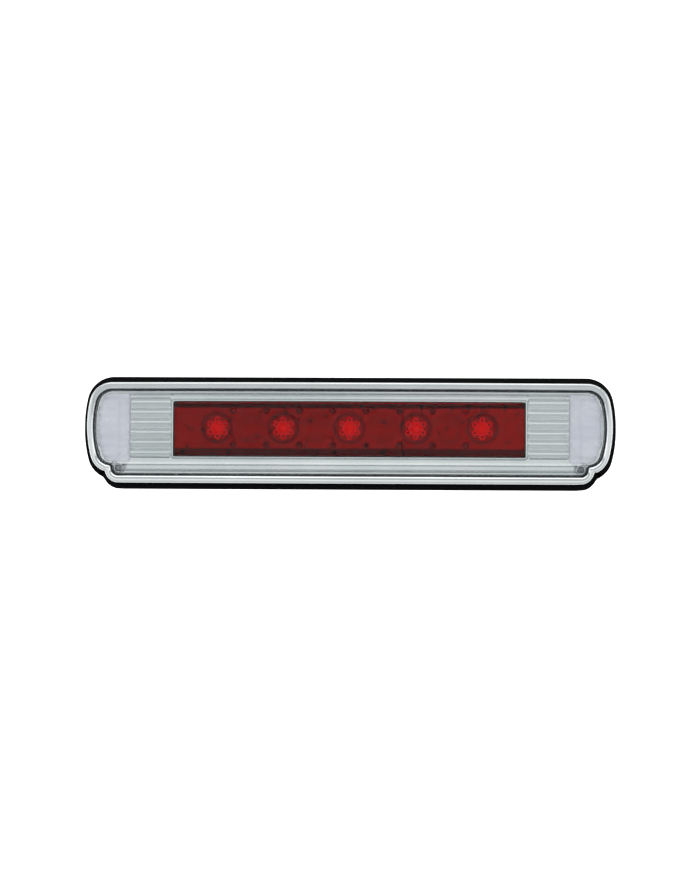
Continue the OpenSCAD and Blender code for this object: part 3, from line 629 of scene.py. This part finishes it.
# The dome rises in two steps from its inner edge: the first one's share, then where the second starts
FIRST_SHARE, SECOND_FROM, SECOND_W = 0.62, 6.6, 2.0
VALLEY = 1.1


def cargo_depth(x, z):
    """Depth of the dome's face: a quarter-round roll at the outer edge and a smaller one at the inner
    edge, both pushed in at the valleys between flutes, and a shallow scallop across each flute."""
    across = reed_phase(z)
    valley = across ** 2
    from_edge = -outside(x, z) - CARGO_EDGE - 1.2 * valley
    from_inner = x - CARGO_IN - REED_NOSE * np.sqrt(np.maximum(1 - END_ROUND * valley, 0)) + REED_SET
    t = np.clip(from_edge / CARGO_ROLL, 0, 1)
    u = np.clip(from_inner / CARGO_INNER_ROLL, 0, 1)
    v = np.clip((from_inner - SECOND_FROM) / SECOND_W, 0, 1)
    first = FIRST_SHARE * np.sqrt(u * (2 - u))
    rise = np.sqrt(t * (2 - t)) * (first + (1 - FIRST_SHARE) * smooth(v))
    return FIELD_D - 0.1 - (FIELD_D - CARGO_D - VALLEY * valley) * rise


rows = np.linspace(END_LOW + 2.4, TOP - 2.4, 90)


def edge_x(z):
    """x at which the lens's outline crosses each height, found by halving."""
    a, b = np.full_like(z, CARGO_IN), np.full_like(z, HALF + 2)
    for _ in range(30):
        m = (a + b) / 2
        inside = outside(m, z) < -CARGO_EDGE
        a, b = np.where(inside, m, a), np.where(inside, b, m)
    return (a + b) / 2


far = edge_x(rows)
share = np.concatenate([np.linspace(0, 0.12, 8), 1 - (1 - np.linspace(0.12, 1, 34)[1:]) ** 1.6])
share = np.unique(np.clip(share, 0, 1))
cx = CARGO_IN + (far - CARGO_IN)[:, None] * share[None, :]
cz = np.repeat(rows[:, None], len(share), 1)
face = np.stack([cx, bow(cx, cargo_depth(cx, cz)), cz], -1)
rear = np.stack([cx, bow(cx, np.full_like(cx, FIELD_D - 0.02)), cz], -1)
shell = np.concatenate([face.reshape(-1, 3), rear.reshape(-1, 3)])
nr, nc = cx.shape
front_faces = grid_faces(nr, nc)
ids = np.arange(nr * nc).reshape(nr, nc)
border = np.concatenate([ids[0, :-1], ids[:-1, -1], ids[-1, :0:-1], ids[:0:-1, 0]])
skirt = np.stack([border, border + nr * nc, np.roll(border, -1) + nr * nc, np.roll(border, -1)], -1)
closed = np.concatenate([front_faces, front_faces[:, ::-1] + nr * nc, skirt])
for side, sign in (("left", -1), ("right", 1)):
    quads = closed if sign > 0 else closed[:, ::-1]
    lens_piece = mesh_piece(f"cargo_lens_{side}_dome", shell * [sign, 1, 1], quads, milky)
    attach(lens_piece, "lamp")
    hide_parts(f"cargo_lens_{side}")

# ---- Cover --------------------------------------------------------------------------------
# One clear moulding of polished polycarbonate over the whole front. Its edge rolls down into the
# groove, and a fine crease shows where the roll meets the bowed face.

# Polycarbonate, moulded and polished: clear, seen only by its edges. Its index of refraction is below
# the real 1.58, which would lay the studio's reflection over everything under it
clear, tree, shader = material("polished_clear_polycarbonate")
where = add(tree, "ShaderNodeTexCoord")
flow = add(tree, "ShaderNodeTexNoise", [("Vector", where, "Object")], inputs={"Scale": 14.0, "Detail": 3.0})
tone = stops(add(tree, "ShaderNodeValToRGB", [("Fac", flow, "Fac")]), (0.3, "#F6F9F9"), (0.7, "#FCFDFD"))
wave = add(tree, "ShaderNodeBump", [("Height", flow, "Fac")], inputs={"Strength": 0.03, "Distance": 0.0005})
tree.links.new(tone.outputs["Color"], shader.inputs["Base Color"])
tree.links.new(wave.outputs["Normal"], shader.inputs["Normal"])
shader.inputs["Transmission Weight"].default_value = 1.0
shader.inputs["Roughness"].default_value = 0.0
shader.inputs["IOR"].default_value = 1.22

COVER_D, COVER_T, ROLL_W = 1.5, 2.0, 3.3
roll = np.radians(np.linspace(0, 90, 12))
EDGE_D = -JOINT_IN - 0.02
# Both skins as pairs: distance outside the cover's outline, depth behind the crest
outer = [(EDGE_D, LEDGE_D - 0.08), (EDGE_D, 3.6), (EDGE_D, 3.3)]
outer += [(EDGE_D - ROLL_W * (1 - math.cos(a)), 3.1 - 1.7 * math.sin(a)) for a in roll]
outer += [(EDGE_D - ROLL_W - 0.25, COVER_D), (EDGE_D - ROLL_W - 0.8, COVER_D)]
inner = [(EDGE_D - 1.2, LEDGE_D - 0.08), (EDGE_D - 1.35, 4.7), (EDGE_D - 1.9, 4.3), (EDGE_D - 2.8, 3.85),
         (EDGE_D - 3.5, COVER_D + COVER_T + 0.05), (EDGE_D - ROLL_W - 0.8, COVER_D + COVER_T)]
share = [0.06, 0.18, 0.35, 0.55, 0.78, 1.0]
half_n = len(half_loop) - 1
index = np.arange(len(base_loop))
mirror_index = np.where(index <= half_n, half_n - index, 3 * half_n - index) % len(base_loop)
rings, depths = [], []


def spine(ring):
    """For each loop point, the middle line's point that it shares with its opposite number."""
    x = (ring[:, 0] + ring[mirror_index, 0]) / 2
    limit = HALF - 26
    return np.stack([limit * np.tanh(x / limit * 1.2) / np.tanh(1.2 * HALF / limit) * 0.98,
                     np.full(len(x), (TOP + LOW) / 2)], -1)


for profile, way in ((inner, 1), (outer, -1)):
    last = loop(profile[-1][0])
    part = [(loop(d), e) for d, e in profile]
    part += [(last * (1 - s) + spine(last) * s, profile[-1][1]) for s in share]
    part = part if way > 0 else part[::-1]
    rings += [p for p, _ in part]
    depths += [bow(p[:, 0], e) for p, e in part]
# From the inside's foot to its middle, then from the outside's middle to its foot, which closes it
inner_count = len(inner) + len(share)
points = np.stack([np.stack([p[:, 0], y, p[:, 1]], -1) for p, y in zip(rings, depths)])
faces = grid_faces(*points.shape[:2], True, True)
row = faces[:, 0] // len(base_loop)
faces = faces[row != inner_count - 1]
cover = mesh_piece("clear_cover", points.reshape(-1, 3), faces, clear)
weld = cover.modifiers.new("weld", "WELD")
weld.merge_threshold = 0.00002
graph = bpy.context.evaluated_depsgraph_get()
cover.data = bpy.data.meshes.new_from_object(cover.evaluated_get(graph))
cover.modifiers.clear()
drill(cover, CAB_HOLES, CAB_R, -40, -8)
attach(cover, "lamp")
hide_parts("cover_lens")

# ---- Housing ------------------------------------------------------------------------------
# The black tub that carries everything: ABS with an erosion-textured surface from the tool. Small
# zinc-plated screws hold bezel, tray and board, and soft rubber seals its openings.


def moulded(name, dark, light, patch, grain_size, depth, rough, voronoi=False):
    """A material with cloudy colour and roughness over patches of this size, and fine grain of this size
    and depth, all in millimetres; rough is its lowest and highest roughness."""
    m, t, p = material(name)
    at = add(t, "ShaderNodeTexCoord")
    cloud = add(t, "ShaderNodeTexNoise", [("Vector", at, "Object")],
                inputs={"Scale": 1000 / patch, "Detail": 4.0})
    kind, out = ("ShaderNodeTexVoronoi", "Distance") if voronoi else ("ShaderNodeTexNoise", "Fac")
    fine = add(t, kind, [("Vector", at, "Object")], inputs={"Scale": 1000 / grain_size})
    ramp = stops(add(t, "ShaderNodeValToRGB", [("Fac", cloud, "Fac")]), (0.3, dark), (0.7, light))
    dull = add(t, "ShaderNodeMapRange", [("Value", cloud, "Fac")],
               inputs={"To Min": rough[0], "To Max": rough[1]})
    bump = add(t, "ShaderNodeBump", [("Height", fine, out)],
               inputs={"Strength": 0.5, "Distance": depth / 1000})
    t.links.new(ramp.outputs["Color"], p.inputs["Base Color"])
    t.links.new(dull.outputs["Result"], p.inputs["Roughness"])
    t.links.new(bump.outputs["Normal"], p.inputs["Normal"])
    return m, p


# ABS moulded in a spark-eroded tool: a dull charcoal with fine, even pits
tub, _ = moulded("textured_moulded_black_abs", "#17181A", "#232528", 9.0, 0.7, 0.12, (0.45, 0.62), True)
coat(tub, "housing")
# Zinc on steel: pale blue-grey, cloudy, half shiny
zinc, shader = moulded("zinc_plated_steel", "#A9ABAE", "#C9CBCD", 2.0, 0.4, 0.03, (0.22, 0.42))
shader.inputs["Metallic"].default_value = 1.0
coat(zinc, "tray_screws", "board_screws", "housing_screws", "screw_sleeves")
# Moulded rubber: black and dull, a little smoother than the foam
soft, _ = moulded("moulded_soft_black_rubber", "#141516", "#222426", 4.0, 0.5, 0.06, (0.5, 0.7))
coat(soft, "connector_seal", "vent_plug", "holder_seal_left", "holder_seal_right")

# ---- Brake light behind the red lens ----------------------------------------------------------
# A moulded and metallised reflector tray with five cups and shallow dishes between them, a board
# behind it with five LEDs, and a six-petalled clear optic round each LED.

# Plastic metallised under a satin lacquer: a soft grey mirror, which the red lens turns deep red
satin, shader = moulded("satin_metallised_tray", "#97989B", "#B2B3B6", 7.0, 1.2, 0.03, (0.22, 0.36))
shader.inputs["Metallic"].default_value = 0.6
TRAY_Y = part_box("reflector_tray")[0][1] * 1000
led_low, led_high = (np.array(c) * 1000 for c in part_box("leds"))
# Radii of the lamp, the cup's rim and its floor, then the depths of a lit cup and of one between two
LED_R, CUP_R, FLOOR_R = 3.2, 11.5, 8.9
CUP_DEPTH, SHALLOW = 7.2, 2.6
# The pockets' height over the lamps' line, their radius and depth
POCKET_OFF, POCKET_R, POCKET_DEPTH = 12.5, 2.3, 5.0
# The sloped edges: their width, their fall, and how much further in the lower one starts
EDGE_W, EDGE_FALL, LOWER_EDGE = 3.4, 1.8, 1.8
LED_SPAN, LED_Z = led_high[0] - LED_R, (led_low[2] + led_high[2]) / 2
CELL = LED_SPAN / 4
BODY_HALF, BODY_LOW, BODY_HIGH = LENS_HALF - 0.8, LENS_Z - 19.0, LENS_Z + 19.0


def cup_y(x, z):
    """y of the tray's face: under each lamp a flat-floored cup with a quarter-round wall, between two
    lamps a shallow paraboloid, round pockets over and under each wall, and edges that fall back."""
    off = (x + CELL / 2) % CELL - CELL / 2
    off = np.where(np.abs(x) > 4.5 * CELL, np.abs(x) - 4 * CELL, off)
    r = np.hypot(off, z - LED_Z)
    t = np.clip((CUP_R - r) / (CUP_R - FLOOR_R), 0, 1)
    lit = np.round(x / CELL) % 2 == 0
    cup = CUP_DEPTH * np.sqrt(t * (2 - t))
    dish = SHALLOW * np.clip(1 - (r / CUP_R) ** 2, 0, 1)
    y = TRAY_Y + np.where(lit, cup, dish)
    gap = x % CELL - CELL / 2
    pocket = np.hypot(gap, np.abs(z - LED_Z) - POCKET_OFF) / POCKET_R
    y += POCKET_DEPTH * smooth((1 - pocket) / 0.5) * (np.abs(x) < 4 * CELL + 1)
    edge = np.minimum(z - BODY_LOW - LOWER_EDGE, BODY_HIGH - z)
    return y + EDGE_FALL * np.clip((EDGE_W - edge) / EDGE_W, 0, 1.3)


tx = np.linspace(-BODY_HALF, BODY_HALF, 420)
tz = np.linspace(BODY_LOW, BODY_HIGH, 76)
gx, gz = np.meshgrid(tx, tz)
points = np.stack([gx, cup_y(gx, gz), gz], -1).reshape(-1, 3)
faces = grid_faces(len(tz), len(tx))
centre = points[faces].mean(1)
near = (centre[:, 0] + CELL) % (2 * CELL) - CELL
hole = np.hypot(near, centre[:, 2] - LED_Z) < LED_R + 0.4
cups = mesh_piece("metallised_reflector_cups", points, faces[~hole], satin)
thick = cups.modifiers.new("wall", "SOLIDIFY")
thick.thickness, thick.offset = 0.0012, -1
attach(cups, "lamp")
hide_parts("reflector_tray")
# Cast epoxy: an orange-red with a painted glow, which makes it the brightest thing behind the lens
epoxy, shader = moulded("cast_red_epoxy", "#F0483C", "#FF6A58", 3.0, 1.0, 0.02, (0.12, 0.2))
shader.inputs["Emission Color"].default_value = srgb("#FF3A2A")
shader.inputs["Emission Strength"].default_value = 0.3
coat(epoxy, "leds")
# Clear acrylic, moulded: pale and glassy, with a painted white glow so that its petals show bright round each
# lamp
optic, shader = moulded("moulded_clear_acrylic_optic", "#F4F4F6", "#FFFFFF", 3.0, 1.0, 0.02, (0.1, 0.2))
shader.inputs["Emission Color"].default_value = srgb("#FFFFFF")
shader.inputs["Emission Strength"].default_value = 0.15
coat(optic, "led_optics")
# Solder mask on glass laminate: a dark, slightly glossy green
mask, _ = moulded("green_solder_mask", "#12492F", "#1B6440", 6.0, 1.1, 0.03, (0.25, 0.4))
coat(mask, "led_board")
# Moulded component packages: matt black
package, _ = moulded("moulded_black_epoxy_package", "#161616", "#232323", 2.0, 0.3, 0.02, (0.4, 0.55))
coat(package, "board_resistors", "board_diode")

# ---- Connector ----------------------------------------------------------------------------
# A black nylon header with four tinned brass pins, which the cab's harness plugs onto.

# Nylon filled with glass fibre, moulded: dark grey, dull, faintly mottled
nylon, _ = moulded("moulded_glass_filled_nylon", "#26282B", "#34373B", 3.0, 0.5, 0.05, (0.38, 0.55))
coat(nylon, "connector_header", "bulb_holder_left", "bulb_holder_right")
# Brass strip, stamped and tinned: pale yellow and bright
tin, shader = moulded("tinned_brass_strip", "#CDBE8C", "#DDD3A8", 2.0, 0.5, 0.02, (0.18, 0.35))
shader.inputs["Metallic"].default_value = 1.0
coat(tin, "connector_pins", "holder_terminals_left", "holder_terminals_right")

# ---- Cargo bulbs --------------------------------------------------------------------------
# Clear wedge bulbs: thin blown glass with a pinched base, and a coiled filament on two leads.

# Blown glass: thin, clear and very smooth
glass, shader = moulded("blown_lamp_glass", "#F4F8FA", "#FFFFFF", 5.0, 3.0, 0.02, (0.0, 0.03))
shader.inputs["Transmission Weight"].default_value = 1.0
shader.inputs["IOR"].default_value = 1.5
coat(glass, "bulb_left", "bulb_right")
# Drawn tungsten: a dark grey, half shiny wire
wire, shader = moulded("drawn_tungsten_wire", "#6C6E72", "#8A8C90", 1.0, 0.3, 0.02, (0.3, 0.45))
shader.inputs["Metallic"].default_value = 1.0
coat(wire, "filament_left", "filament_right")
